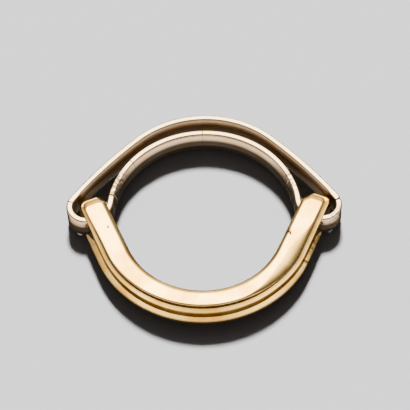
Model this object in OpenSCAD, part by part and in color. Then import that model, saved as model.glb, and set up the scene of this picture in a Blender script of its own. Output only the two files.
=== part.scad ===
/* [White gold strap] */
// Radius of the finger side of the inner band
band_bore_r = 8.6; // [8.4:0.1:8.8]
// Thickness of the strap, seen from above
strap_t = 0.6; // [0.4:0.05:0.7]
// Height of the strap, along the finger
strap_h = 2.3; // [1.6:0.1:2.5]
// Radius of the outer arch, to the middle of the strap
arch_r = 9.4; // [9.2:0.1:9.6]
// How far the arch's centre lies behind the centre of the finger hole
arch_back = 1.3; // [1.2:0.1:1.5]
// Angle from the middle of the arch to where its long flanks begin
arch_half_angle = 43; // [42:1:44]
// Radius of the long, nearly straight flanks
flank_r = 47; // [45:1:50]
// How far each flank turns before its hairpin
flank_angle = 11; // [10.5:0.5:11.5]
// Radius of the hairpin turns, to the middle of the strap
hairpin_r = 1.55; // [1.45:0.05:1.65]
// Place of the butt joint on each hairpin, measured back from its outermost point
joint_angle = 18; // [10:1:30]
// Width of each butt joint
joint_gap = 0.06; // [0.04:0.01:0.1]

/* [Yellow gold stirrup] */
// Radius of the stirrup's finger side
stirrup_bore_r = 7.5; // [7.3:0.1:7.7]
// How far the stirrup's centre lies in front of the centre of the finger hole
stirrup_front = 1.5; // [1.4:0.1:1.6]
// Height of the stirrup, along the finger
stirrup_h = 3.2; // [3:0.1:3.6]
// Width of the broad upper and lower faces in the middle of the front
face_w = 1.8; // [1.7:0.05:1.9]
// How much wider the faces have grown where the arms begin, as a shift between their two curves
face_ease = 0.4; // [0.3:0.05:0.5]
// How far each of the two steps stands out beyond the one before
step_w = 0.45; // [0.3:0.05:0.5]
// Height of the first step at the front
shoulder_h = 2.1; // [1.9:0.1:2.2]
// Height of the first step beside the tips, where it stands over the strap
shoulder_tip_h = 2.9; // [2.8:0.05:3]
// Height of the outermost rib
rib_h = 0.64; // [0.4:0.04:0.8]
// Slope of the arms' finger side, measured from crosswise
inner_slope = 66.5; // [66:0.5:67]
// Slope of the arms' outer side, measured from crosswise
outer_slope = 67; // [66.5:0.5:67.5]
// Distance from the stirrup's centre to the tips of its arms, along the arms
arm_reach = 7; // [6.8:0.1:7.1]
// Radius of the tips' two corners, seen from above
tip_corner_r = 0.5; // [0.3:0.1:0.7]
// Radius by which the tips roll over from the upper to the lower face
tip_roll_r = 1.2; // [0.8:0.1:1.4]
// How far the first step shows as a rim beyond the face at the tips
rim_w = 0.12; // [0.08:0.02:0.2]
// Distance from the stirrup's centre to the tips of the rib, along the arms
rib_reach = 3.5; // [3:0.1:3.6]
// Clearance round the strap in the arms' eyes
eye_gap = 0.06; // [0.05:0.01:0.1]

/* [Hidden] */
// Angle between neighbouring points of a round stretch
arc_step = 4;
// Larger than the ring, for shapes that only cut
beyond = 20;

// The strap's middle line is a chain of arcs that run smoothly into each other:
// arch, flank, hairpin, eye bend and band. Angles at the back count from straight back.
band_r = band_bore_r + strap_t / 2;
hairpin_turn = arch_half_angle + flank_angle;
flank_centre = [0, arch_back] - (flank_r - arch_r) * outward(arch_half_angle);
hairpin_centre = flank_centre + (flank_r - hairpin_r) * outward(hairpin_turn);
// The eye bend starts at the hairpin's foot and touches the band's circle from outside
foot = hairpin_centre - [0, hairpin_r];
eye_r = (foot * foot - band_r * band_r) / (2 * (band_r - foot.y));
eye_centre = foot + [0, eye_r];
band_from = atan2(eye_centre.y, eye_centre.x);
// Half of the butt joint, as an angle of the hairpin
joint_half = asin(joint_gap / 2 / hairpin_r);

// Radii of the stirrup's three outer steps
face_r = stirrup_bore_r + face_w;
shoulder_r = face_r + step_w;
rib_r = shoulder_r + step_w;
stirrup_centre = [0, -stirrup_front];
outer_centre = stirrup_centre + [0, face_ease];
arm_slope = (inner_slope + outer_slope) / 2;

// The origin is under the middle of the ring's length and width, on the face that it lies on
back_y = arch_back + arch_r + strap_t / 2;
front_y = -stirrup_front - rib_r;
ring_place = [0, -(back_y + front_y) / 2, stirrup_h / 2];

function outward(angle) = [sin(angle), cos(angle)];

// Points of the arc with centre c and radius r from angle a to angle b, counted from the right
function arc(c, r, a, b) =
    let (n = max(1, ceil(abs(b - a) / arc_step)))
    [for (i = [0 : n]) c + r * [cos(a + (b - a) * i / n), sin(a + (b - a) * i / n)]];

// The same points on the left side, in reverse order
function mirrored(points) = [for (i = [len(points) - 1 : -1 : 0]) [-points[i].x, points[i].y]];

function reversed(points) = [for (i = [len(points) - 1 : -1 : 0]) points[i]];

function without_first(points) = [for (i = [1 : len(points) - 1]) points[i]];

// A line d outside the arch's middle line, from the left joint round the back to the right joint
function arch_line(d) =
    let (half = concat(
        arc([0, arch_back], arch_r + d, 90, 90 - arch_half_angle),
        without_first(arc(flank_centre, flank_r + d, 90 - arch_half_angle, 90 - hairpin_turn)),
        without_first(arc(hairpin_centre, hairpin_r + d, 90 - hairpin_turn, joint_angle + joint_half))))
    concat(mirrored(without_first(half)), half);

// A line d outside the band's middle line, from the right joint through both eyes to the left joint
function band_line(d) =
    let (half = concat(
        arc([0, 0], band_r - d, 90, band_from),
        without_first(arc(eye_centre, eye_r + d, band_from - 180, -90)),
        without_first(arc(hairpin_centre, hairpin_r + d, -90, joint_angle - joint_half))))
    concat(reversed(half), mirrored(reversed(without_first(half))));

// The band's own shape seen from above, thicker by grow on each side
module band_strip(grow = 0) {
    outer = band_line(strap_t / 2 + grow);
    inner = band_line(-strap_t / 2 - grow);
    polygon(concat(outer, reversed(inner)));
}

module upright(height) {
    translate([0, 0, -height / 2])
        linear_extrude(height) children();
}

// Outline of the stirrup out to radius r, with arms as long as far
module stirrup_outline(r, far) {
    along = [cos(arm_slope), sin(arm_slope)];
    inner_from = stirrup_centre + stirrup_bore_r * [sin(inner_slope), -cos(inner_slope)];
    outer_r = r + face_ease;
    outer_from = outer_centre + outer_r * [sin(outer_slope), -cos(outer_slope)];
    inner_way = [cos(inner_slope), sin(inner_slope)];
    outer_way = [cos(outer_slope), sin(outer_slope)];
    to_corner = far - tip_corner_r + stirrup_centre * along;
    inner_corner = inner_from + (to_corner - inner_from * along) * inner_way
        + tip_corner_r * [inner_way.y, -inner_way.x];
    outer_corner = outer_from + (to_corner - outer_from * along) * outer_way
        - tip_corner_r * [outer_way.y, -outer_way.x];
    half = concat(
        arc(outer_centre, outer_r, -90, outer_slope - 90),
        arc(outer_corner, tip_corner_r, outer_slope - 90, arm_slope),
        arc(inner_corner, tip_corner_r, arm_slope, inner_slope + 90),
        arc(stirrup_centre, stirrup_bore_r, inner_slope - 90, -90));
    last = len(half) - 1;
    polygon(concat(half, mirrored([for (i = [1 : last - 1]) half[i]])));
}

// Everything that is not beyond the rolled-over tip of the right arm
module short_of_tip(far) {
    roll_z = stirrup_h / 2 - tip_roll_r;
    translate(stirrup_centre)
        rotate([90, 0, arm_slope])
            linear_extrude(2 * beyond, center = true)
                polygon(concat(
                    [[-beyond, -stirrup_h / 2]],
                    arc([far - tip_roll_r, -roll_z], tip_roll_r, -90, 0),
                    arc([far - tip_roll_r, roll_z], tip_roll_r, 0, 90),
                    [[-beyond, stirrup_h / 2]]));
}

// Everything between two planes that part slowly from the front towards the tips
module between_rising(front_height, tip_height) {
    from_y = -stirrup_front - shoulder_r;
    to_y = -stirrup_front + arm_reach * sin(arm_slope) - face_r * cos(arm_slope);
    upper = [
        [beyond, tip_height / 2], [to_y, tip_height / 2],
        [from_y, front_height / 2], [-beyond, front_height / 2]];
    lower = [for (point = reversed(upper)) [point.x, -point.y]];
    rotate([90, 0, 90])
        linear_extrude(2 * beyond, center = true)
            polygon(concat(upper, lower));
}

// One step of the stirrup: its outline, its height and how far its arms reach
module stirrup_step(r, height, far) {
    intersection() {
        upright(height) stirrup_outline(r, far);
        short_of_tip(far);
        mirror([1, 0, 0]) short_of_tip(far);
    }
}

// The bar of white gold over the back, from one butt joint to the other
module outer_arch() {
    outer = arch_line(strap_t / 2);
    inner = arch_line(-strap_t / 2);
    color([0.93, 0.88, 0.82])
        translate(ring_place)
            upright(strap_h) polygon(concat(outer, reversed(inner)));
}

// The white gold band behind the finger, which passes through the arms' eyes and ends in the hairpins
module inner_band() {
    color([0.9, 0.84, 0.78])
        translate(ring_place)
            upright(strap_h) band_strip();
}

// The yellow gold front: a broad face, a shoulder and a rib, with an eye for the band in each arm
module stirrup() {
    color([0.91, 0.73, 0.43])
        translate(ring_place)
            difference() {
                union() {
                    stirrup_step(face_r, stirrup_h, arm_reach - rim_w);
                    intersection() {
                        stirrup_step(shoulder_r, stirrup_h, arm_reach);
                        between_rising(shoulder_h, shoulder_tip_h);
                    }
                    upright(rib_h) stirrup_outline(rib_r, rib_reach);
                }
                upright(strap_h + 2 * eye_gap) band_strip(eye_gap);
            }
}

outer_arch();
inner_band();
stirrup();
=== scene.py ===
"""A two-tone gold finger ring lying on its side on a pale table.

The ring is put together in this order: the white gold band behind the finger, whose two ends turn
back as hairpins, the yellow gold stirrup in front, which the band passes through, the rib along the
stirrup's front, and the white gold arch over the back. Sizes are in millimetres unless a name says
otherwise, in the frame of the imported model: the ring lies on z = 0, with its back towards +Y.
"""

import math

import bmesh
import bpy
import numpy as np
from mathutils import Matrix, Vector


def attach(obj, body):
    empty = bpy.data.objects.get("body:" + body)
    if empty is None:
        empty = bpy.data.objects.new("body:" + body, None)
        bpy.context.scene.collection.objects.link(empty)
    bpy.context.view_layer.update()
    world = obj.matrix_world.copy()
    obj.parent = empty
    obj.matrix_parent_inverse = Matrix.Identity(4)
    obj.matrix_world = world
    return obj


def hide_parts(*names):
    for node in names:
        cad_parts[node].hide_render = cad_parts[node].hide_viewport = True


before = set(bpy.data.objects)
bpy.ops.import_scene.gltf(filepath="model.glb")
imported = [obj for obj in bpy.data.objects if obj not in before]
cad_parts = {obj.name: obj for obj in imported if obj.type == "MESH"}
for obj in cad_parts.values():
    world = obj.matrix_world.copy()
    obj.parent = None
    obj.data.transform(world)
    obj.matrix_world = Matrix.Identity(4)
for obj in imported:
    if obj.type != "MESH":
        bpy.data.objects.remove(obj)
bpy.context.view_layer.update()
MM = 0.001

# INNER BAND. A flat strap of white gold bent behind the finger. Each end passes through an eye in the
# stirrup's arm and turns back in a hairpin, where the arch is soldered on. It was sawn and soldered
# again when the ring was sized, so fine seams cross it, and grease and dust sit in them.
HOLE_CENTRE = np.array([0.0, 0.35])
MID_HEIGHT = 1.6
STRAP_THICK = 0.6
STRAP_TALL = 2.3
STRAP_EDGE = 0.12
BAND_EDGE = 0.14
CASTING_DEPTH = 0.08
BAND_R = 8.9
ARCH_CENTRE = np.array([0.0, 1.3])
ARCH_R = 9.4
ARCH_HALF_ANGLE = 43
FLANK_R = 47
HAIRPIN_TURN = 54
HAIRPIN_R = 1.55
JOINT_ANGLE = 18
JOINT_GAP = 0.06
LINE_STEP = 0.02


def outward(angle):
    """The plan direction at an angle in degrees from straight back, to the right."""
    return np.array([math.sin(math.radians(angle)), math.cos(math.radians(angle))])


def arc(centre, radius, start, end):
    """Plan points LINE_STEP apart along an arc, with angles in degrees counted from the right."""
    count = max(2, math.ceil(abs(math.radians(end - start)) * radius / LINE_STEP))
    turn = np.radians(np.linspace(start, end, count + 1))
    return np.array(centre) + radius * np.stack([np.cos(turn), np.sin(turn)], axis=1)


def both_sides(half):
    """A line that is given from its right end to the middle, carried on to the left end."""
    return np.concatenate([half, (half[:-1] * [-1, 1])[::-1]])


flank_centre = ARCH_CENTRE - (FLANK_R - ARCH_R) * outward(ARCH_HALF_ANGLE)
hairpin_centre = flank_centre + (FLANK_R - HAIRPIN_R) * outward(HAIRPIN_TURN)
hairpin_foot = hairpin_centre - [0, HAIRPIN_R]
eye_bend_r = (hairpin_foot @ hairpin_foot - BAND_R**2) / (2 * (BAND_R - hairpin_foot[1]))
eye_bend_centre = hairpin_foot + [0, eye_bend_r]
band_from = math.degrees(math.atan2(eye_bend_centre[1], eye_bend_centre[0]))
half_gap = math.degrees(math.asin(JOINT_GAP / 2 / HAIRPIN_R))
band_line = both_sides(
    np.concatenate(
        [
            arc(hairpin_centre, HAIRPIN_R, JOINT_ANGLE - half_gap, -90),
            arc(eye_bend_centre, eye_bend_r, -90, band_from - 180)[1:],
            arc([0, 0], BAND_R, band_from, 90)[1:],
        ]
    )
)


def lengths_along(line):
    """How far each point of a plan line is from its start."""
    steps = np.linalg.norm(np.diff(line, axis=0), axis=1)
    return np.concatenate([[0], np.cumsum(steps)])


def place_along(line, point):
    """How far along a plan line the place nearest to a point is."""
    return lengths_along(line)[np.argmin(np.linalg.norm(line - point, axis=1))]


def strap_path(name, line, marks=(), spots=(), bellies=(), ends=(0.0, 0.0), end_dirt=(0.9, 0.9), taper=0.0):
    """A path for the strap's tree, with what each of its points asks of the section.

    marks: (place along, half width, depth, grime) for each seam, which is a fine groove all round.
    spots: (attribute, place along, half width, amount) for each soft patch.
    bellies: (from, to, amount) for each stretch where one wall swells. Seen along the line, that is the
    left wall if the amount is above 0, and otherwise the right one.
    ends: how much of the outer edge is broken away at the start and at the end.
    end_dirt: how dirty the start and the end are.
    taper: the length over which each end narrows to a point.
    """
    spacing = 0.12
    end_round = 0.03
    dirty_length = 0.12
    broken_length = 0.2
    belly_fade = 0.6
    tip_size = 0.3
    run = lengths_along(line)
    total = run[-1]
    places = list(np.linspace(0, total, max(3, int(total / spacing)) + 1))
    for place, half_width, _, _ in marks:
        places += [place + half_width * step for step in (-2, -1, -0.5, 0, 0.5, 1, 2)]
    for step in (0.2, 0.5, 1, 3, 6):
        places += [end_round * step, total - end_round * step]
    places = np.unique(np.round(np.clip(places, 0, total), 4))
    points = np.stack([np.interp(places, run, line[:, 0]), np.interp(places, run, line[:, 1])], axis=1)
    points += HOLE_CENTRE

    from_end = np.minimum(places, total - places)
    depth_in = np.clip(end_round - from_end, 0, end_round)
    broken_start = np.clip(1 - places / broken_length, 0, 1)
    broken_end = np.clip(1 - (total - places) / broken_length, 0, 1)
    dirt_and_shade = np.interp(places, (0, total), end_dirt)
    values = {
        "along": places,
        "groove": end_round - np.sqrt(end_round**2 - depth_in**2),
        "grime_and_shade": dirt_and_shade * np.clip(1 - from_end / dirty_length, 0, 1),
        "rough": np.zeros(len(places)),
        "belly": np.zeros(len(places)),
        "dull": np.zeros(len(places)),
        "size": np.ones(len(places)),
        "crack": ends[0] * broken_start + ends[1] * broken_end,
    }
    if taper:
        values["size"] = np.clip(tip_size + (1 - tip_size) * from_end / taper, 0, 1)
    for place, half_width, depth, grime_and_shade in marks:
        near = np.clip(1 - np.abs(places - place) / half_width, 0, 1)
        values["groove"] = np.maximum(values["groove"], depth * near)
        values["grime_and_shade"] = np.maximum(values["grime_and_shade"], grime_and_shade * near)
    # A spot is full over its middle part and fades over the rest of its width
    for attribute, place, half_width, amount in spots:
        near = np.clip(1.6 - 1.6 * np.abs(places - place) / half_width, 0, 1)
        values[attribute] = np.maximum(values[attribute], amount * near)
    for start, end, amount in bellies:
        values["belly"] += amount * np.clip(np.minimum(places - start, end - places) / belly_fade, 0, 1)

    mesh = bpy.data.meshes.new(name)
    corners = [(x * MM, y * MM, MID_HEIGHT * MM) for x, y in points]
    mesh.from_pydata(corners, [(i, i + 1) for i in range(len(corners) - 1)], [])
    for attribute, amounts in values.items():
        mesh.attributes.new(attribute, "FLOAT", "POINT").data.foreach_set("value", amounts.astype(np.float32))
    path = bpy.data.objects.new(name, mesh)
    bpy.context.scene.collection.objects.link(path)
    return path


def add(tree, kind, inputs=(), **settings):
    """One node of a tree, with its settings and its inputs, by name or in their order. Each input is a value,
    another node's socket, or another node, whose first socket it takes."""
    node = tree.nodes.new(kind)
    for name, value in settings.items():
        setattr(node, name, value)
    named = inputs if isinstance(inputs, dict) else dict(enumerate(inputs))
    for name, value in named.items():
        if isinstance(value, bpy.types.Node):
            value = value.outputs[0]
        if isinstance(value, bpy.types.NodeSocket):
            tree.links.new(value, node.inputs[name])
        else:
            node.inputs[name].default_value = value
    return node


def strap_tree():
    """The tree that bends a rounded strap along a path. Its section is a rectangle of evenly spaced
    points, larger than the strap, drawn in onto the rounded outline, so most points fall on the edges."""
    tree = bpy.data.node_groups.new("strap bent along a path", "GeometryNodeTree")
    tree.interface.new_socket("Path", in_out="INPUT", socket_type="NodeSocketGeometry")
    for name in ("Thickness", "Height", "Edge Radius", "Outer Slope", "Casting Depth"):
        tree.interface.new_socket(name, in_out="INPUT", socket_type="NodeSocketFloat")
    tree.interface.new_socket("Section Points", in_out="INPUT", socket_type="NodeSocketInt")
    tree.interface.new_socket("Metal", in_out="INPUT", socket_type="NodeSocketMaterial")
    tree.interface.new_socket("Strap", in_out="OUTPUT", socket_type="NodeSocketGeometry")
    sizes = add(tree, "NodeGroupInput").outputs
    stored = {
        name: add(tree, "GeometryNodeInputNamedAttribute", {"Name": name}, data_type="FLOAT")
        for name in ("size", "across", "tall", "belly", "groove", "crack", "rough")
    }
    here = add(tree, "GeometryNodeInputPosition")

    # The section, with x across the strap and y over its height: a rectangle, evenly divided
    margin = 0.5 * MM
    half_x = add(tree, "ShaderNodeMath", (sizes["Thickness"], 0.5), operation="MULTIPLY")
    half_y = add(tree, "ShaderNodeMath", (sizes["Height"], 0.5), operation="MULTIPLY")
    wide = add(tree, "ShaderNodeMath", (sizes["Thickness"], margin), operation="ADD")
    high = add(tree, "ShaderNodeMath", (sizes["Height"], margin), operation="ADD")
    section = add(tree, "GeometryNodeCurvePrimitiveQuadrilateral", {"Width": wide, "Height": high})
    counted = {"Curve": section, "Count": sizes["Section Points"]}
    section = add(tree, "GeometryNodeResampleCurve", counted, mode="COUNT")

    # Each point is drawn to the nearest place on the rounded outline
    core_x = add(tree, "ShaderNodeMath", (half_x, sizes["Edge Radius"]), operation="SUBTRACT")
    core_y = add(tree, "ShaderNodeMath", (half_y, sizes["Edge Radius"]), operation="SUBTRACT")
    core = add(tree, "ShaderNodeCombineXYZ", (core_x, core_y))
    core_low = add(tree, "ShaderNodeVectorMath", {0: core, "Scale": -1.0}, operation="SCALE")
    nearest = add(tree, "ShaderNodeVectorMath", (here, core), operation="MINIMUM")
    nearest = add(tree, "ShaderNodeVectorMath", (nearest, core_low), operation="MAXIMUM")
    outwards = add(tree, "ShaderNodeVectorMath", (here, nearest), operation="SUBTRACT")
    outwards = add(tree, "ShaderNodeVectorMath", (outwards,), operation="NORMALIZE")
    rounding = add(
        tree, "ShaderNodeVectorMath", {0: outwards, "Scale": sizes["Edge Radius"]}, operation="SCALE"
    )
    outline = add(tree, "ShaderNodeVectorMath", (nearest, rounding), operation="ADD")
    section = add(tree, "GeometryNodeSetPosition", {"Geometry": section, "Position": outline})

    # It remembers where its points are: across runs from -1 to 1, and so does tall, from below to above
    parts = add(tree, "ShaderNodeSeparateXYZ", (here,)).outputs
    across = add(tree, "ShaderNodeMath", (parts["X"], half_x), operation="DIVIDE")
    tall = add(tree, "ShaderNodeMath", (parts["Y"], half_y), operation="DIVIDE")
    for name, value in (("across", across), ("tall", tall)):
        kept = {"Geometry": section, "Name": name, "Value": value}
        section = add(tree, "GeometryNodeStoreNamedAttribute", kept, data_type="FLOAT", domain="POINT")

    # The height falls away towards the side at across = -1
    fall = add(tree, "ShaderNodeMath", (half_x, parts["X"]), operation="SUBTRACT")
    fall = add(tree, "ShaderNodeMath", (fall, sizes["Outer Slope"]), operation="MULTIPLY")
    fall = add(tree, "ShaderNodeMath", (fall, tall), operation="MULTIPLY")
    fall = add(tree, "ShaderNodeMath", (fall, -1.0), operation="MULTIPLY")
    fall = add(tree, "ShaderNodeCombineXYZ", {"Y": fall})
    section = add(tree, "GeometryNodeSetPosition", {"Geometry": section, "Offset": fall})

    # The section goes along the path, which remembers which way is sideways
    curve = add(tree, "GeometryNodeMeshToCurve", {"Mesh": sizes["Path"]})
    curve = add(tree, "GeometryNodeSetCurveNormal", {"Curve": curve}, mode="Z_UP")
    kept = {"Geometry": curve, "Name": "side", "Value": add(tree, "GeometryNodeInputNormal")}
    curve = add(tree, "GeometryNodeStoreNamedAttribute", kept, data_type="FLOAT_VECTOR", domain="POINT")
    swept = {"Curve": curve, "Profile Curve": section, "Scale": stored["size"], "Fill Caps": True}
    strap = add(tree, "GeometryNodeCurveToMesh", swept)

    # One wall swells sideways, most over its middle third, and bends back to edges that lie a little inside
    outer = add(tree, "ShaderNodeMath", (stored["across"], -1.0), operation="MULTIPLY")
    swell = add(tree, "ShaderNodeMath", (outer, stored["belly"]), operation="MULTIPLY")
    swell = add(tree, "ShaderNodeMath", (swell, 0.0), operation="MAXIMUM")
    bend = add(tree, "ShaderNodeMath", (stored["tall"],), operation="ABSOLUTE")
    bend = add(tree, "ShaderNodeMath", (bend, 1.5), operation="MULTIPLY")
    bend = add(tree, "ShaderNodeMath", (bend, 0.5), operation="SUBTRACT")
    bend = add(tree, "ShaderNodeMath", (bend, 0.0), operation="MAXIMUM")
    bend = add(tree, "ShaderNodeMath", (bend, 1.45), operation="POWER")
    bend = add(tree, "ShaderNodeMath", (0.75, bend), operation="SUBTRACT")
    swell = add(tree, "ShaderNodeMath", (swell, bend), operation="MULTIPLY")
    hand = add(tree, "ShaderNodeMath", (stored["across"],), operation="SIGN")
    swell = add(tree, "ShaderNodeMath", (swell, hand), operation="MULTIPLY")
    swell = add(tree, "ShaderNodeMath", (swell, MM), operation="MULTIPLY")
    side = add(tree, "GeometryNodeInputNamedAttribute", {"Name": "side"}, data_type="FLOAT_VECTOR")
    swell = add(tree, "ShaderNodeVectorMath", {0: side, "Scale": swell}, operation="SCALE")

    # Seams and rounded ends sink the surface, and cast metal is pitted at about 0.3 mm
    outer = add(tree, "ShaderNodeMath", (outer, 0.0), operation="MAXIMUM")
    sunk = add(tree, "ShaderNodeMath", (stored["crack"], outer), operation="MULTIPLY")
    sunk = add(tree, "ShaderNodeMath", (stored["groove"], sunk), operation="ADD")
    sunk = add(tree, "ShaderNodeMath", (sunk, MM), operation="MULTIPLY")
    pitted = add(tree, "ShaderNodeTexNoise", {"Vector": here, "Scale": 3200.0, "Detail": 2.0})
    pitted = add(tree, "ShaderNodeMath", (pitted, stored["rough"]), operation="MULTIPLY")
    pitted = add(tree, "ShaderNodeMath", (pitted, sizes["Casting Depth"]), operation="MULTIPLY")
    inward = add(tree, "ShaderNodeMath", (sunk, pitted), operation="ADD")
    inward = add(tree, "ShaderNodeMath", (inward, -1.0), operation="MULTIPLY")
    facing = add(tree, "GeometryNodeInputNormal")
    inward = add(tree, "ShaderNodeVectorMath", {0: facing, "Scale": inward}, operation="SCALE")
    shift = add(tree, "ShaderNodeVectorMath", (swell, inward), operation="ADD")
    strap = add(tree, "GeometryNodeSetPosition", {"Geometry": strap, "Offset": shift})

    # Smooth all over, but for the sharp edges of its ends
    strap = add(tree, "GeometryNodeSetShadeSmooth", {"Geometry": strap}, domain="FACE")
    turn = add(tree, "GeometryNodeInputMeshEdgeAngle").outputs["Unsigned Angle"]
    crisp = add(tree, "FunctionNodeCompare", (turn, math.radians(50)), operation="GREATER_THAN")
    edges = {"Geometry": strap, "Selection": crisp, "Shade Smooth": False}
    strap = add(tree, "GeometryNodeSetShadeSmooth", edges, domain="EDGE")
    strap = add(tree, "GeometryNodeRealizeInstances", {"Geometry": strap})
    strap = add(tree, "GeometryNodeSetMaterial", {"Geometry": strap, "Material": sizes["Metal"]})
    add(tree, "NodeGroupOutput", {"Strap": strap})
    return tree


def linear(code):
    """The linear colour of an sRGB hex code."""
    channels = [int(code[i : i + 2], 16) / 255 for i in (1, 3, 5)]
    return tuple(c / 12.92 if c <= 0.04045 else ((c + 0.055) / 1.055) ** 2.4 for c in channels) + (1.0,)


# The unit of height of the finish's bump
RELIEF = 0.004


def worn_gold(name, bright, warm, tarnish_and_shade, polish, unpolished):
    """Gold alloy, cast or drawn and then polished by hand: a mirror that wear has softened. It shows slow
    changes of tone, lines left by polishing and wear along its length, small pits, and a dark brown where
    the attribute for grime and shade asks: grease and tarnish where polishing never reached, and on the
    stirrup painted shade in its steps and down its walls. polish is its roughness, and unpolished how
    much rougher the side at across = 1 is, which the buff can't reach."""
    metal = bpy.data.materials.new(name)
    metal.use_nodes = True
    tree = metal.node_tree
    tree.nodes.clear()
    stored = {
        attribute: add(tree, "ShaderNodeAttribute", attribute_name=attribute).outputs["Fac"]
        for attribute in ("along", "across", "grime_and_shade", "dull", "rough")
    }

    # Object coordinates in millimetres, and the same drawn out along the strap for lines
    place = add(tree, "ShaderNodeTexCoord").outputs["Object"]
    place = add(tree, "ShaderNodeMapping", {"Vector": place, "Scale": (1000, 1000, 1000)})
    height = add(tree, "ShaderNodeSeparateXYZ", (place,)).outputs["Z"]
    grain_x = add(tree, "ShaderNodeMath", (stored["along"], 0.5), operation="MULTIPLY")
    grain_y = add(tree, "ShaderNodeMath", (stored["across"], 6.0), operation="MULTIPLY")
    grain_z = add(tree, "ShaderNodeMath", (height, 7.0), operation="MULTIPLY")
    grain = add(tree, "ShaderNodeCombineXYZ", (grain_x, grain_y, grain_z))

    # Tone drifts over about 2 mm, and tarnish breaks up at about 0.3 mm
    drift = add(tree, "ShaderNodeTexNoise", {"Vector": place, "Scale": 0.45, "Detail": 2.0})
    mottle = add(
        tree, "ShaderNodeTexNoise", {"Vector": place, "Scale": 3.2, "Detail": 3.0, "Roughness": 0.6}
    )
    patchy = add(tree, "ShaderNodeMapRange", (mottle, 0.2, 0.6, 0.65, 1.15))
    grime_and_shade = add(tree, "ShaderNodeMath", (stored["grime_and_shade"], patchy), operation="MULTIPLY", use_clamp=True)
    patchy = add(tree, "ShaderNodeMapRange", (mottle, 0.44, 0.56))
    dull = add(tree, "ShaderNodeMath", (stored["dull"], patchy), operation="MULTIPLY", use_clamp=True)

    # Pits up to 0.1 mm wide: each cell is 0.9 mm across, and a third of them hold one
    cells = add(tree, "ShaderNodeTexVoronoi", {"Vector": place, "Scale": 1.1}).outputs
    chosen = add(tree, "ShaderNodeSeparateColor", (cells["Color"],))
    chosen = add(tree, "ShaderNodeMapRange", (chosen, 0.62, 0.66))
    pit = add(tree, "ShaderNodeMapRange", (cells["Distance"], 0.05, 0.02))
    pit = add(tree, "ShaderNodeMath", (pit, chosen), operation="MULTIPLY")

    # Polishing lines 0.05 mm apart and about 1 mm long, drawn coarser than the real ones to show
    lines = add(
        tree, "ShaderNodeTexNoise", {"Vector": grain, "Scale": 2.4, "Detail": 4.0, "Roughness": 0.7}
    )
    strong = add(tree, "ShaderNodeMapRange", (lines, 0.5, 0.72))
    patchy = add(tree, "ShaderNodeMapRange", (mottle, 0.4, 0.62))
    streak = add(tree, "ShaderNodeMath", (strong, patchy), operation="MULTIPLY")

    # The alloy's tone drifts between two, and streaks, dull patches and pits tarnish it, and grime and
    # painted shade darken it
    drift = add(tree, "ShaderNodeMapRange", (drift, 0.35, 0.65))
    tones = {0: drift, 6: linear(bright), 7: linear(warm)}
    tone = add(tree, "ShaderNodeMix", tones, data_type="RGBA").outputs[2]
    for layer, amount in ((streak, 0.3), (dull, 0.8), (pit, 0.8), (grime_and_shade, 1.0)):
        share = add(tree, "ShaderNodeMath", (layer, amount), operation="MULTIPLY")
        tones = {0: share, 6: tone, 7: linear(tarnish_and_shade)}
        tone = add(tree, "ShaderNodeMix", tones, data_type="RGBA").outputs[2]

    # The polishing lines roughen the polish a little, and grime with painted shade, dullness and the
    # unpolished side more
    shine = add(tree, "ShaderNodeMapRange", (lines, 0.3, 0.7, polish, polish + 0.06))
    missed = add(tree, "ShaderNodeMapRange", (stored["across"], 0.7, 1.0))
    for layer, amount in ((grime_and_shade, 0.25), (dull, 0.2), (missed, unpolished)):
        shine = add(tree, "ShaderNodeMath", (layer, amount, shine), operation="MULTIPLY_ADD")

    # Relief in units of RELIEF, with the skin of the casting at about 0.1 mm
    skin = add(tree, "ShaderNodeTexNoise", {"Vector": place, "Scale": 9.0, "Detail": 2.0})
    skin = add(tree, "ShaderNodeMath", (skin, stored["rough"]), operation="MULTIPLY")
    scuffs = add(tree, "ShaderNodeMath", (mottle, stored["dull"]), operation="MULTIPLY")
    relief = 0.0
    for layer, depth in ((lines, 0.35), (mottle, 0.25), (skin, 12.0), (scuffs, 2.0), (pit, -4.0)):
        relief = add(tree, "ShaderNodeMath", (layer, depth, relief), operation="MULTIPLY_ADD")
    bump = add(tree, "ShaderNodeBump", {"Strength": 1.0, "Distance": RELIEF * MM, "Height": relief})
    finish = {"Base Color": tone, "Roughness": shine, "Normal": bump, "Metallic": 1.0}
    surface = add(tree, "ShaderNodeBsdfPrincipled", finish)
    add(tree, "ShaderNodeOutputMaterial", {"Surface": surface})
    return metal


# White gold without plating: a warm grey, which looks cream where it mirrors the light
white_gold = worn_gold("worn white gold", "#DED0BF", "#D6C5B2", "#7A6554", 0.08, 0.22)
strap_bender = strap_tree()


def bend_strap(name, path, thickness, height, edge, metal, section_points=72, slope=0.0):
    """The strap along a path, as a plain mesh. slope is how steeply its height falls towards across = -1."""
    bender = path.modifiers.new("bend", "NODES")
    bender.node_group = strap_bender
    values = {
        "Thickness": thickness * MM,
        "Height": height * MM,
        "Edge Radius": edge * MM,
        "Outer Slope": slope,
        "Casting Depth": CASTING_DEPTH * MM,
        "Section Points": section_points,
        "Metal": metal,
    }
    for socket in strap_bender.interface.items_tree:
        if socket.name in values:
            bender[socket.identifier] = values[socket.name]
    shaped = path.evaluated_get(bpy.context.evaluated_depsgraph_get())
    mesh = bpy.data.meshes.new_from_object(shaped)
    bpy.data.objects.remove(path)
    mesh.name = name
    mesh.materials.clear()
    mesh.materials.append(metal)
    strap = bpy.data.objects.new(name, mesh)
    bpy.context.scene.collection.objects.link(strap)
    return strap


# Seams in the inner band: angle from straight back, half width, depth and grime
seams = [(-1.0, 0.03, 0.015, 0.5), (-51.2, 0.03, 0.02, 0.6), (-66.5, 0.035, 0.03, 0.8)]
seams += [(-78.8, 0.05, 0.045, 0.95), (64.2, 0.03, 0.03, 0.7), (68.2, 0.03, 0.02, 0.5)]
band_marks = [(place_along(band_line, BAND_R * outward(angle)), *rest) for angle, *rest in seams]

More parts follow.
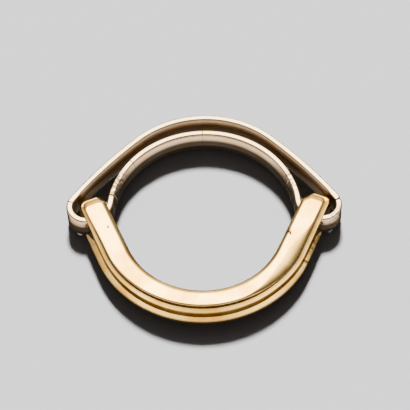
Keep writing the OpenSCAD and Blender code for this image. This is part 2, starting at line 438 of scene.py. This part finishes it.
# The hairpins' outer walls and the wall against the finger are worn round, the hairpins up to the arms
HAIRPIN_BELLY = 0.2
BAND_BELLY = 0.225
band_length = lengths_along(band_line)[-1]
turn_from = place_along(band_line, hairpin_centre + HAIRPIN_R * outward(105))
turn_to = place_along(band_line, hairpin_foot) + 0.4
behind_finger = place_along(band_line, BAND_R * outward(82))
band_bellies = [
    (turn_from, turn_to, HAIRPIN_BELLY),
    (behind_finger, band_length - behind_finger, BAND_BELLY),
    (band_length - turn_to, band_length - turn_from, HAIRPIN_BELLY),
]

# The right hairpin kept its casting skin outside, and the band is dull where the seams lie close together
rough_place = place_along(band_line, hairpin_centre + HAIRPIN_R * outward(125))
band_spots = [
    ("rough", rough_place, 1.3, 0.8),
    ("dull", rough_place, 1.3, 0.2),
    ("dull", place_along(band_line, BAND_R * outward(-71)), 2.2, 1.0),
    ("dull", place_along(band_line, BAND_R * outward(69)), 1.6, 0.6),
]
band_path = strap_path("band_path", band_line, band_marks, band_spots, band_bellies, end_dirt=(0.9, 0.3))
inner_band = bend_strap("band", band_path, STRAP_THICK, STRAP_TALL, BAND_EDGE, white_gold)
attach(inner_band, "root")
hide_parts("inner_band")

# STIRRUP. The yellow gold front, cast in one piece and filed to shape: a broad face, one step down all
# round its outer side and tips, and a rounded inner edge that wear has softened. Its arms end in slanting
# tips, and an eye through each arm takes the band. The file and the buff never reached into the steps, and
# painted shade darkens the steps, the foot of the face's outer edge and the lower part of the shoulder's
# side.
STIRRUP_CENTRE = np.array([-0.05, -1.5]) + HOLE_CENTRE
STIRRUP_BORE = 7.5
FACE_WIDTH = 1.8
FACE_EASE = 0.4
STEP_WIDTH = 0.45
FACE_HEIGHT = 1.6
SHOULDER_FRONT = 1.1
SHOULDER_TIP = 1.41
LEFT_SHOULDER_RISE = 0.03
LEDGE_SLOPE = 0.22
INNER_SLOPE = math.radians(66.5)
OUTER_SLOPE = math.radians(67)
ARM_SLOPE = math.radians(66.75)
ARM_REACH = 7.0
TIP_ROLL = 1.2
RIM_WIDTH = 0.08
DOME = 0.035
EDGE_SOFT = 0.05
EYE_GAP = 0.06

# Pairs are for the left and the right arm, and the radii of a corner for its finger side and outer side
ARM_REACHES = (7.1, 7.4)
TIP_CORNERS = ((0.5, 0.75), (1.0, 0.5))
FACE_CORNERS = ((0.4, 0.55), (0.9, 0.42))
TIP_SLANTS = (0.56, 0.54)

# How far the finger side is rounded, across and down, on the left arm, in front and on the right arm
INNER_RUNS = (0.55, 0.6, 0.4)
INNER_DROPS = (0.46, 0.42, 0.36)

# Stations along half of the stirrup: a turn round the front, then the arm, then half of a tip corner
FRONT_STATIONS = 90
ARM_STATIONS = 36
CORNER_STATIONS = 6
STATION_STEP = 0.16
turns = np.concatenate([np.linspace(0, 1, FRONT_STATIONS + 1), np.ones(ARM_STATIONS + CORNER_STATIONS)])
along_arm = np.linspace(0, 1, ARM_STATIONS + 1)[1:]
outs = np.concatenate([np.zeros(FRONT_STATIONS + 1), along_arm, np.ones(CORNER_STATIONS)])
round_corner = np.linspace(0, 45, CORNER_STATIONS + 1)[1:]
bends = np.radians(np.concatenate([np.zeros(FRONT_STATIONS + 1 + ARM_STATIONS), round_corner]))
half_count = len(turns)
hand = np.concatenate([-np.ones(half_count - 1), np.ones(half_count)])
turns, outs, bends = (np.concatenate([part[:0:-1], part]) for part in (turns, outs, bends))
last = len(hand) - 1

# Where a tip's row turns its two corners: 45 degrees where a corner begins, 90 on the flat between them
CORNER_POINTS = 6
FLAT_POINTS = 8
ACROSS_POINTS = 2 * CORNER_POINTS + FLAT_POINTS
corner_turn = np.radians(np.linspace(45, 90, CORNER_POINTS + 1))
row_turn = np.concatenate([corner_turn, np.full(FLAT_POINTS - 1, math.pi / 2), corner_turn[::-1]])


def smooth(value, low, high):
    """A smooth step from 0 at low to 1 at high."""
    part = np.clip((value - low) / (high - low), 0, 1)
    return part * part * (3 - 2 * part)


def contour(inner, outer, reaches, corners, z_inner, z_outer):
    """The grid of places, station by station and from the inner side to the outer, whose rim is one contour
    of the stirrup. inner and outer are distances from the finger side, reaches those of the two tips, and
    corners for each tip the radii of its corner at the finger side and at the outer side."""
    reach = np.where(hand < 0, reaches[0], reaches[1])[:, None]
    finger_corner = np.where(hand < 0, corners[0][0], corners[1][0])
    outer_corner = np.where(hand < 0, corners[0][1], corners[1][1])
    left = inner + finger_corner * (1 - np.cos(bends))
    right = outer - outer_corner * (1 - np.cos(bends))
    widths = []
    for end in (0, last):
        from_inner = inner[end] + finger_corner[end] * (1 - np.cos(corner_turn))
        from_outer = (outer[end] - outer_corner[end] * (1 - np.cos(corner_turn)))[::-1]
        flat = np.linspace(from_inner[-1], from_outer[0], FLAT_POINTS + 1)
        row = np.concatenate([from_inner, flat[1:-1], from_outer])
        widths.append((row - row[0]) / (row[-1] - row[0]))
    share = np.array(widths)[(hand > 0).astype(int)]
    depth = left[:, None] + share * (right - left)[:, None]
    in_face = np.clip(depth / FACE_WIDTH, 0, 1)
    ease = FACE_EASE * in_face
    radius = STIRRUP_BORE + depth + ease
    slope = INNER_SLOPE + (OUTER_SLOPE - INNER_SLOPE) * in_face
    start = radius * np.sin(slope - ARM_SLOPE) + ease * math.sin(ARM_SLOPE)
    corner = finger_corner[:, None] + (outer_corner - finger_corner)[:, None] * share
    run = start * (1 - outs)[:, None] + (reach - corner) * outs[:, None] + corner * np.sin(bends)[:, None]
    near_tip = smooth(outs, 0.55, 1.0) * (0.4 + 0.6 * smooth(bends, 0, math.radians(45)))
    run += corner * (np.sin(row_turn) - math.sin(math.radians(45))) * near_tip[:, None]
    far = np.where(turns[:, None] < 1, 0, (run - start) / np.cos(slope - ARM_SLOPE))
    angle = turns[:, None] * slope
    x = hand[:, None] * (radius * np.sin(angle) + far * np.cos(slope))
    y = ease - radius * np.cos(angle) + far * np.sin(slope)
    z = z_inner[:, None] + (z_outer - z_inner)[:, None] * smooth(share, 0, 0.25)
    return np.stack([x + STIRRUP_CENTRE[0], y + STIRRUP_CENTRE[1], z + MID_HEIGHT], axis=2), share, depth


def tip_roll(z):
    """How far the shoulder's tip falls back at a height, as it rolls over."""
    return TIP_ROLL - math.sqrt(TIP_ROLL**2 - max(0.0, abs(z) - (FACE_HEIGHT - TIP_ROLL)) ** 2)


# The shoulder climbs from the front to the tips, where it covers the strap and nearly meets the face
shoulder_out = FACE_WIDTH + STEP_WIDTH
back_of = np.where(turns < 1, -np.cos(turns * ARM_SLOPE), -math.cos(ARM_SLOPE))
back_of = back_of * (STIRRUP_BORE + shoulder_out) + outs * ARM_REACH * math.sin(ARM_SLOPE)
climb = (back_of - back_of.min()) / (back_of.max() - back_of.min())
before_corner = 1 - smooth(bends, 0, math.radians(30))
ledge = SHOULDER_FRONT + (SHOULDER_TIP - SHOULDER_FRONT) * climb
ledge += LEFT_SHOULDER_RISE * (hand < 0) * smooth(outs, 0.3, 0.7) * before_corner

# How softly the face's outer edge is rounded: crisp on the left arm, worn soft where the right arm begins.
# around is the angle in degrees from the middle of the front, carried on along the arms
CRISP_RUN = 0.16
WORN_RUN = 1.2
around = np.degrees(hand * turns * ARM_SLOPE) + hand * outs * 20
worn = smooth(around, 20, 62) - smooth(around, 66, 80)
edge_run = CRISP_RUN + WORN_RUN * worn - 0.06 * smooth(-around, 20, 70)
cap_height = FACE_HEIGHT - DOME
left_tip = (hand < 0) * smooth(outs, 0.5, 0.9)
edge_share = 0.6 + 0.34 * worn + 0.3 * left_tip
edge_drop = np.minimum(edge_run, edge_share * (cap_height - ledge))

# The face is a little wider on the left arm and its tip, and both steps stand out more on the right arm
spread = 0.1 * smooth(around, 40, 66)
widen = 0.06 * smooth(-around, 20, 60) + 0.12 * smooth(-around, 70, 86) + spread
side_out = shoulder_out + spread
face_out = FACE_WIDTH + widen
ledge_fall = LEDGE_SLOPE * (side_out - face_out) * (1 - 1.1 * smooth(bends, 0, math.radians(40)))
ledge_edge = ledge - ledge_fall
level_line = np.ones(len(hand))

# The finger side is rounded most in the middle of the front, and least on the right arm
on_left, on_right = smooth(-around, 20, 60), smooth(around, 30, 72)
inner_run, inner_drop = (
    middle + (left - middle) * on_left + (right - middle) * on_right
    for left, middle, right in (INNER_RUNS, INNER_DROPS)
)
contours = []


def add_contour(outer, reaches, corners, z_inner, z_outer, inner=0.0, dirt_and_shade=(0.0, 0.0, 0.0)):
    """Keeps one contour, with the dirt and painted shade on its finger side, its outer side and its tips."""
    heights = (z_inner * level_line, z_outer * level_line)
    contours.append((inner * level_line, outer * level_line, reaches, corners, *heights, dirt_and_shade))


def shoulder_reaches(z, back=0.0):
    """How far the shoulder reaches along each arm at a height, less a little at a rounded edge."""
    return tuple(reach - tip_roll(z) - back for reach in ARM_REACHES)


# The shoulder's upright side, from the middle of its height to its rounded edge. Each row has the height of
# its outer side, as a share of the whole, the height of its finger side in mm, and its painted shade, darker
# towards the bottom
side_rows = ((0.0, 0.0, 0.6), (0.3, 0.3, 0.6), (0.6, 0.6, 0.5), (0.8, 0.7, 0.4), (0.93, 0.76, 0.1))
for share, z_inner, dirt_and_shade in side_rows:
    z_outer = share * (ledge_edge - EDGE_SOFT)
    reaches = shoulder_reaches(z_outer[last])
    add_contour(side_out, reaches, TIP_CORNERS, z_inner, z_outer, dirt_and_shade=(0.1, dirt_and_shade, 0.3))
for angle, z_inner in ((0, 0.79), (25, 0.82), (50, 0.85), (72, 0.88), (90, 0.91)):
    z_outer = ledge_edge - EDGE_SOFT * (1 - math.sin(math.radians(angle)))
    back = EDGE_SOFT * (1 - math.cos(math.radians(angle)))
    reaches = shoulder_reaches(z_outer[last], back)
    corners = [[radius - back for radius in tip] for tip in TIP_CORNERS]
    add_contour(side_out - back, reaches, corners, z_inner, z_outer, dirt_and_shade=(0.1, 0.0, 0.0))

# The step's floor, the groove at its foot and the wall up to the face, with painted shade darkest in the
# groove, on the wall and at the tips
rim_reaches = shoulder_reaches(SHOULDER_TIP, EDGE_SOFT + RIM_WIDTH)
floor_reaches = tuple(reach + 0.05 for reach in rim_reaches)
wall_reaches = tuple(reach - 0.03 for reach in rim_reaches)
floor_height = ledge - 0.25 * ledge_fall
add_contour(face_out + 0.1, floor_reaches, FACE_CORNERS, 0.94, floor_height, dirt_and_shade=(0.1, 0.08, 0.0))
add_contour(face_out + 0.02, rim_reaches, FACE_CORNERS, 0.96, ledge, dirt_and_shade=(0.1, 0.8, 0.8))
add_contour(face_out, wall_reaches, FACE_CORNERS, 0.98, ledge + 0.012, dirt_and_shade=(0.1, 1.0, 0.8))

# The face's edges, rounded from the wall to the cap. Painted shade keeps to the foot of the outer edge, and
# on the worn stretch painted shade darkens the middle of the slope
arc_angles = np.radians([0, 12, 24, 36, 47, 57, 66, 74, 82])
arc_top = math.sin(arc_angles[-1])
edge_shade = (0.8, 0.6, 0.4, 0.2, 0, 0, 0, 0, 0)
worn_shade = (0, 0.2, 0.3, 0.4, 0.25, 0, 0, 0, 0)
for angle, dirt_and_shade, more_shade in zip(arc_angles, edge_shade, worn_shade):
    round_drop = arc_top - math.sin(angle)
    worn_drop = 0.65 * worn * (math.cos(angle) ** 1.5 - round_drop)
    z_outer = cap_height - edge_drop * (round_drop + worn_drop)
    z_inner = cap_height - inner_drop * round_drop
    outer = face_out - edge_run * (1 - math.cos(angle))
    inner = inner_run * (1 - math.cos(angle))
    up = math.sin(angle) / arc_top
    reaches = tuple(reach - 0.05 - slant * up for reach, slant in zip(rim_reaches, TIP_SLANTS))
    corners = [[radius - 0.15 * up for radius in tip] for tip in FACE_CORNERS]
    arc_shades = (0.0, dirt_and_shade + worn * more_shade, dirt_and_shade**1.3)
    add_contour(outer, reaches, corners, z_inner, z_outer, inner, arc_shades)


def stirrup_mesh():
    """The closed surface through the contours, mirrored below, with its domed faces."""
    stack = [(-1, ring) for ring in contours[:0:-1]] + [(1, ring) for ring in contours]
    rim = [(j, ACROSS_POINTS) for j in range(last + 1)]
    rim += [(last, k) for k in range(ACROSS_POINTS - 1, -1, -1)]
    rim += [(j, 0) for j in range(last - 1, -1, -1)]
    rim += [(0, k) for k in range(1, ACROSS_POINTS)]
    rows, columns = (np.array(part) for part in zip(*rim))
    corners, dirt_and_shade, alongs, acrosses, faces = [], [], [], [], []
    # The dirt and painted shade on the outer side thin out towards the tips
    fade_to_tips = 1 - np.where(hand < 0, 0.9 * smooth(outs, 0.35, 0.7), 0.8 * smooth(outs, 0.7, 0.95))
    station_run = np.arange(last + 1) * STATION_STEP
    for sign, (inner, outer, reaches, radii, z_inner, z_outer, grime_and_shade) in stack:
        grid, _, depth = contour(inner, outer, reaches, radii, sign * z_inner, sign * z_outer)
        corners.append(grid[rows, columns])
        on_tip = (rows == 0) | (rows == last)
        side_dirt_and_shade = np.where(columns == 0, grime_and_shade[0], (grime_and_shade[1] * fade_to_tips)[rows])
        dirt_and_shade.append(np.where(on_tip, grime_and_shade[2], side_dirt_and_shade))
        alongs.append(station_run[rows])
        acrosses.append(depth[rows, columns])
    count = len(rim)
    for level in range(len(stack) - 1):
        for i in range(count):
            low, high = level * count, (level + 1) * count
            step = (i + 1) % count
            faces.append((low + i, low + step, high + step, high + i))
    index_of = {cell: i for i, cell in enumerate(rim)}
    for sign, base in ((-1, 0), (1, (len(stack) - 1) * count)):
        inner, outer, reaches, radii, z_inner, z_outer, _ = contours[-1]
        grid, share, depth = contour(inner, outer, reaches, radii, sign * z_inner, sign * z_outer)
        dome = DOME * (1 - smooth(outs, 0.6, 1.0)) * np.minimum(1, (outer - inner) / 1.5) ** 2
        grid[:, :, 2] += sign * dome[:, None] * (1 - (2 * share - 1) ** 2)
        first = sum(len(part) for part in corners)
        inside = [(j, k) for j in range(1, last) for k in range(1, ACROSS_POINTS)]
        local = {cell: first + i for i, cell in enumerate(inside)}
        local.update({cell: base + i for cell, i in index_of.items()})
        rows_in, columns_in = (np.array(part) for part in zip(*inside))
        corners.append(grid[rows_in, columns_in])
        dirt_and_shade.append(np.zeros(len(inside)))
        alongs.append(station_run[rows_in])
        acrosses.append(depth[rows_in, columns_in])
        for j in range(last):
            for k in range(ACROSS_POINTS):
                faces.append((local[j, k], local[j + 1, k], local[j + 1, k + 1], local[j, k + 1]))
    mesh = bpy.data.meshes.new("stirrup")
    mesh.from_pydata((np.concatenate(corners) * MM).tolist(), [], faces)
    for name, amounts in (("grime_and_shade", dirt_and_shade), ("along", alongs), ("across", acrosses)):
        data = mesh.attributes.new(name, "FLOAT", "POINT").data
        data.foreach_set("value", np.concatenate(amounts).astype(np.float32))
    shape = bmesh.new()
    shape.from_mesh(mesh)
    bmesh.ops.recalc_face_normals(shape, faces=shape.faces)
    shape.to_mesh(mesh)
    shape.free()
    return mesh


def cutter(name, outline, low, high):
    """An upright block over a closed plan outline, to be cut away from the stirrup."""
    count = len(outline)
    corners = [(x * MM, y * MM, z * MM) for z in (low, high) for x, y in outline]
    faces = [tuple(range(count - 1, -1, -1)), tuple(range(count, 2 * count))]
    faces += [(i, (i + 1) % count, count + (i + 1) % count, count + i) for i in range(count)]
    mesh = bpy.data.meshes.new(name)
    mesh.from_pydata(corners, [], faces)
    shape = bmesh.new()
    shape.from_mesh(mesh)
    bmesh.ops.recalc_face_normals(shape, faces=shape.faces)
    shape.to_mesh(mesh)
    shape.free()
    block = bpy.data.objects.new(name, mesh)
    bpy.context.scene.collection.objects.link(block)
    return block


# Yellow gold: a strong straw colour on the buffed faces, and a brown for grease and pits, which also paints
# shade in the steps
yellow_gold = worn_gold("worn yellow gold", "#F8E0AC", "#E6C088", "#766C58", 0.08, 0.0)
stirrup = bpy.data.objects.new("front_stirrup", stirrup_mesh())
bpy.context.scene.collection.objects.link(stirrup)

# Each eye follows the band from its hairpin's foot to its round part, with a little play all round, and
# EYE_EXTRA more towards the finger
EYE_EXTRA = 0.05
eye_from = place_along(band_line, hairpin_centre + HAIRPIN_R * outward(150))
eye_to = place_along(band_line, BAND_R * outward(62))
run = lengths_along(band_line)
eye_line = band_line[(run > eye_from) & (run < eye_to)][::10] + HOLE_CENTRE
way = np.gradient(eye_line, axis=0)
way /= np.linalg.norm(way, axis=1)[:, None]
sideways = np.stack([way[:, 1], -way[:, 0]], axis=1)
gap = STRAP_THICK / 2 + EYE_GAP
right_eye = np.concatenate([eye_line + gap * sideways, (eye_line - (gap + EYE_EXTRA) * sideways)[::-1]])
eye_low = MID_HEIGHT - STRAP_TALL / 2 - EYE_GAP
eye_high = MID_HEIGHT + STRAP_TALL / 2 + EYE_GAP
cutters = [
    cutter("right_eye", right_eye, eye_low, eye_high),
    cutter("left_eye", right_eye * [-1, 1], eye_low, eye_high),
]

# Wear that the file left or that came later: (place in mm, radii in mm, turn in degrees)
dents = [
    ((-8.944, -1.842, 3.20), (0.09, 0.08, 0.13), 20),
    ((7.88, -2.54, 3.04), (0.11, 0.07, 0.30), -25),
    ((8.02, -2.72, 3.15), (0.07, 0.15, 0.14), 10),
    ((-8.93, -4.90, 3.05), (0.10, 0.07, 0.16), 35),
]
for number, (spot, radii, turn) in enumerate(dents):
    shape = bmesh.new()
    bmesh.ops.create_icosphere(shape, subdivisions=3, radius=1)
    place = Matrix.Translation(Vector(spot) * MM) @ Matrix.Rotation(math.radians(turn), 4, "Z")
    shape.transform(place @ Matrix.Diagonal((radii[0] * MM, radii[1] * MM, radii[2] * MM, 1)))
    mesh = bpy.data.meshes.new(f"dent_{number}")
    shape.to_mesh(mesh)
    shape.free()
    dent = bpy.data.objects.new(f"dent_{number}", mesh)
    bpy.context.scene.collection.objects.link(dent)
    cutters.append(dent)
for tool in cutters:
    cut = stirrup.modifiers.new(tool.name, "BOOLEAN")
    cut.operation = "DIFFERENCE"
    cut.solver = "MANIFOLD"
    cut.object = tool
shaped = stirrup.evaluated_get(bpy.context.evaluated_depsgraph_get())
cut_mesh = bpy.data.meshes.new_from_object(shaped)
stirrup.modifiers.clear()
stirrup.data = cut_mesh
for tool in cutters:
    bpy.data.objects.remove(tool)

# Dirt sits in the dents
DENT_GRIME = 0.6
places_mm = np.empty(3 * len(cut_mesh.vertices))
cut_mesh.vertices.foreach_get("co", places_mm)
places_mm = places_mm.reshape(-1, 3) / MM
for spot, radii, _ in dents:
    near = np.linalg.norm(places_mm - spot, axis=1) < 1.02 * max(radii)
    for index in np.flatnonzero(near):
        cut_mesh.attributes["grime_and_shade"].data[index].value = DENT_GRIME
stirrup.data.materials.clear()
stirrup.data.materials.append(yellow_gold)
stirrup.data.shade_smooth()
stirrup.data.set_sharp_from_angle(angle=math.radians(40))
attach(stirrup, "root")
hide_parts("stirrup")

# RIB. A square wire of the same yellow gold, soldered along the middle of the stirrup's outer side. Its
# ends are filed to points that stand a little off the arms, and the line above it, where it is soldered on,
# carries painted shade.
RIB_IN, RIB_OUT = 2.15, 2.7
RIB_TALL = 0.64
RIB_EDGE = 0.06
RIB_REACH = 3.5
RIB_SLOPE = 0.25
RIB_TAPER = 1.6
RIB_STAND_OFF = 0.14
rib_centre = np.array([0, STIRRUP_CENTRE[1] - HOLE_CENTRE[1] + FACE_EASE])
rib_r = STIRRUP_BORE + FACE_EASE + (RIB_IN + RIB_OUT) / 2
rib_from = math.degrees(OUTER_SLOPE) - 90
rib_way = np.array([math.cos(OUTER_SLOPE), math.sin(OUTER_SLOPE)])
rib_bend = rib_centre + rib_r * np.array([math.sin(OUTER_SLOPE), -math.cos(OUTER_SLOPE)])
rib_run = np.linspace(0, RIB_REACH, 200)
rib_arm = rib_bend + rib_run[::-1, None] * rib_way
stand_off = RIB_STAND_OFF * (1 - smooth(rib_run, 0, RIB_TAPER))
rib_arm += stand_off[:, None] * [rib_way[1], -rib_way[0]]
rib_line = both_sides(np.concatenate([rib_arm, arc(rib_centre, rib_r, rib_from, -90)[1:]]))
rib_line += [STIRRUP_CENTRE[0], 0]
# A rough spot where it is soldered, and a stretch towards the right end that is duller and darker
rib_spots = [
    ("rough", place_along(rib_line, np.array([9.3, -5.3])), 0.9, 0.4),
    ("grime_and_shade", place_along(rib_line, np.array([9.35, -5.3])), 0.22, 0.9),
    ("dull", place_along(rib_line, np.array([10.2, -3.3])), 2.0, 0.9),
    ("grime_and_shade", place_along(rib_line, np.array([10.4, -2.9])), 2.4, 0.65),
]
rib_path = strap_path("rib_path", rib_line, spots=rib_spots, taper=RIB_TAPER)
rib = bend_strap("front_rib", rib_path, RIB_OUT - RIB_IN, RIB_TALL, RIB_EDGE, yellow_gold, 40, RIB_SLOPE)
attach(rib, "root")

# OUTER ARCH. A second length of the same strap, bent over the back in a wide bow and soldered to the
# hairpins. Solder fills the left joint to a fine seam, and the right one has sprung open at its outer edge.
arch_line = both_sides(
    np.concatenate(
        [
            arc(hairpin_centre, HAIRPIN_R, JOINT_ANGLE + half_gap, 90 - HAIRPIN_TURN),
            arc(flank_centre, FLANK_R, 90 - HAIRPIN_TURN, 90 - ARCH_HALF_ANGLE)[1:],
            arc(ARCH_CENTRE, ARCH_R, 90 - ARCH_HALF_ANGLE, 90)[1:],
        ]
    )
)[::-1]
SOLDER = 0.04
arch_start = arch_line[0] - arch_line[1]
arch_line[0] += SOLDER * arch_start / np.linalg.norm(arch_start)

# Its inner wall is worn round, from just after one joint to just before the other
ARCH_BELLY = 0.36
BELLY_START = 0.8
arch_bellies = [(BELLY_START, lengths_along(arch_line)[-1] - BELLY_START, -ARCH_BELLY)]
arch_path = strap_path("arch_path", arch_line, bellies=arch_bellies, ends=(0.0, 0.12), end_dirt=(0.3, 0.9))
outer_arch = bend_strap("arch", arch_path, STRAP_THICK, STRAP_TALL, STRAP_EDGE, white_gold)
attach(outer_arch, "root")
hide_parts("outer_arch")

# TABLE AND LIGHT. A plain pale table, a large soft light behind the ring at the angle that its flat faces
# mirror, a pale backdrop, and a camera at the photograph's angle.
table_mesh = bpy.data.meshes.new("table")
half_table = 2.0
table_corners = [(-half_table, -half_table, 0), (half_table, -half_table, 0)]
table_corners += [(half_table, half_table, 0), (-half_table, half_table, 0)]
table_mesh.from_pydata(table_corners, [], [(0, 1, 2, 3)])
table = bpy.data.objects.new("table", table_mesh)
bpy.context.scene.collection.objects.link(table)
paper = bpy.data.materials.new("pale matt table")
paper.use_nodes = True
paper.node_tree.nodes.clear()
matt = {"Base Color": linear("#D9D9DC"), "Roughness": 0.7}
surface = add(paper.node_tree, "ShaderNodeBsdfPrincipled", matt)
add(paper.node_tree, "ShaderNodeOutputMaterial", {"Surface": surface})
table_mesh.materials.append(paper)

# The large soft box that the gold mirrors. Its sizes are in metres
BOX_ELEVATION = math.radians(58)
BOX_DISTANCE = 1.0
BOX_WIDTH = 0.44
BOX_LENGTH = 0.6
WINDOW_RADIANCE = 1.1
light_way = Vector((0.0, math.cos(BOX_ELEVATION), math.sin(BOX_ELEVATION)))
window = bpy.data.lights.new("soft_box", "AREA")
window.shape = "RECTANGLE"
window.size = BOX_WIDTH
window.size_y = BOX_LENGTH
window.energy = WINDOW_RADIANCE * math.pi * window.size * window.size_y
window.color = linear("#FFECCB")[:3]
soft_box = bpy.data.objects.new("soft_box", window)
bpy.context.scene.collection.objects.link(soft_box)
soft_box.location = light_way * BOX_DISTANCE
soft_box.rotation_euler = light_way.to_track_quat("Z", "Y").to_euler()
soft_box.visible_diffuse = False

# Soft light from the same side for the table, which keeps its brightness apart from the gold's
TABLE_LIGHT_TILT = math.radians(38.5)
TABLE_LIGHT_ANGLE = math.radians(10)
TABLE_LIGHT_STRENGTH = 4.6
lamp = bpy.data.lights.new("table_light", "SUN")
lamp.energy = TABLE_LIGHT_STRENGTH
lamp.angle = TABLE_LIGHT_ANGLE
table_light = bpy.data.objects.new("table_light", lamp)
bpy.context.scene.collection.objects.link(table_light)
table_light.rotation_euler = (-TABLE_LIGHT_TILT, 0, 0)
table_light.visible_glossy = False
table.visible_glossy = False

# The studio around: a lit wall behind the ring, darkness above and behind the camera, and low light all
# round near the horizon. Each stop has the height of the direction, from straight down to straight up, and
# the wall's colour there, under light that makes white as bright as WALL_RADIANCE.
FAR_STOPS = (
    (-1.0, "#262320"),
    (-0.7, "#403B36"),
    (-0.3, "#636260"),
    (-0.08, "#6B6A68"),
    (0.05, "#857D6B"),
    (0.45, "#9A917C"),
    (0.68, "#A69C86"),
    (0.78, "#EEE0C0"),
    (0.95, "#F5E6C6"),
    (1.0, "#9A8C72"),
)
NEAR_STOPS = (
    (-1.0, "#1C1A18"),
    (-0.9, "#272522"),
    (-0.82, "#373430"),
    (-0.74, "#54504A"),
    (-0.6, "#756F68"),
    (-0.35, "#A69A8C"),
    (0.0, "#AFA194"),
    (0.3, "#7D7770"),
    (0.5, "#545352"),
    (0.7, "#3F3F3E"),
    (0.9, "#484746"),
    (1.0, "#9A8C72"),
)
SIDE_STOPS = (
    (-1.0, "#171614"),
    (-0.86, "#272522"),
    (-0.6, "#2D2D2C"),
    (-0.2, "#3B3B3A"),
    (0.2, "#484746"),
    (0.5, "#5A5958"),
    (0.7, "#6B6A68"),
    (0.84, "#817967"),
    (1.0, "#8D8471"),
)
WALL_RADIANCE = 3.4
studio = bpy.data.worlds.new("studio")
bpy.context.scene.world = studio
studio.use_nodes = True
sky = studio.node_tree
sky.nodes.clear()
direction = add(sky, "ShaderNodeTexCoord").outputs["Generated"]
parts = add(sky, "ShaderNodeSeparateXYZ", {0: direction}).outputs
level = add(sky, "ShaderNodeMapRange", {"Value": parts["Z"], "From Min": -1.0, "From Max": 1.0})
walls = []
for stops in (NEAR_STOPS, FAR_STOPS, SIDE_STOPS):
    wall = add(sky, "ShaderNodeValToRGB", {"Fac": level})
    elements = wall.color_ramp.elements
    while len(elements) < len(stops):
        elements.new(0.5)
    for element, (height, tone) in zip(elements, stops):
        element.position = (height + 1) / 2
        element.color = linear(tone)
    walls.append(wall.outputs[0])
near_wall, far_wall, side_wall = walls
sideways = add(sky, "ShaderNodeMath", (parts["X"],), operation="ABSOLUTE")
beside = add(sky, "ShaderNodeMapRange", {"Value": sideways, "From Min": 0.18, "From Max": 0.46})
behind = add(sky, "ShaderNodeMapRange", {"Value": parts["Y"], "From Min": -0.25, "From Max": 0.35})
around_us = side_wall
for share, wall in ((beside, far_wall), (behind, near_wall)):
    around_us = add(sky, "ShaderNodeMix", {0: share, 6: wall, 7: around_us}, data_type="RGBA").outputs[2]

# The camera sees a pale backdrop, and only a little of all this lights the table
rays = add(sky, "ShaderNodeLightPath").outputs
dim = add(sky, "ShaderNodeMapRange", {0: rays["Diffuse Depth"], "To Min": 1.0, "To Max": 0.1})
bright = add(sky, "ShaderNodeMath", (dim, WALL_RADIANCE), operation="MULTIPLY")
glow = add(sky, "ShaderNodeBackground", {"Color": around_us, "Strength": bright})
backdrop = add(sky, "ShaderNodeBackground", {"Color": linear("#D9D9DC"), "Strength": dim})
mixed = add(sky, "ShaderNodeMixShader", (rays["Is Glossy Ray"], backdrop, glow))
add(sky, "ShaderNodeOutputWorld", {"Surface": mixed})
bpy.context.scene.view_settings.view_transform = "AgX"
bpy.context.scene.view_settings.look = "AgX - High Contrast"

# The camera stands 0.18 m off and looks down at 56 degrees, with a long lens
CAMERA_LENS = 165.95
CAMERA_DISTANCE = 179.126
CAMERA_DOWN = 56.033
CAMERA_TURN = 1.613
CAMERA_ROLL = -1.958
CAMERA_AIM = Vector((0.063, 1.588, 1.6))
camera_data = bpy.data.cameras.new("camera")
camera_data.lens = CAMERA_LENS
camera_data.sensor_width = 36
camera_data.clip_start = 0.01
camera = bpy.data.objects.new("camera", camera_data)
bpy.context.scene.collection.objects.link(camera)
look = (
    Matrix.Rotation(math.radians(CAMERA_TURN), 4, "Z")
    @ Matrix.Rotation(math.radians(90 - CAMERA_DOWN), 4, "X")
    @ Matrix.Rotation(math.radians(CAMERA_ROLL), 4, "Z")
)
stand_back = Matrix.Translation((0, 0, CAMERA_DISTANCE * MM))
camera.matrix_world = Matrix.Translation(CAMERA_AIM * MM) @ look @ stand_back
bpy.context.scene.camera = camera
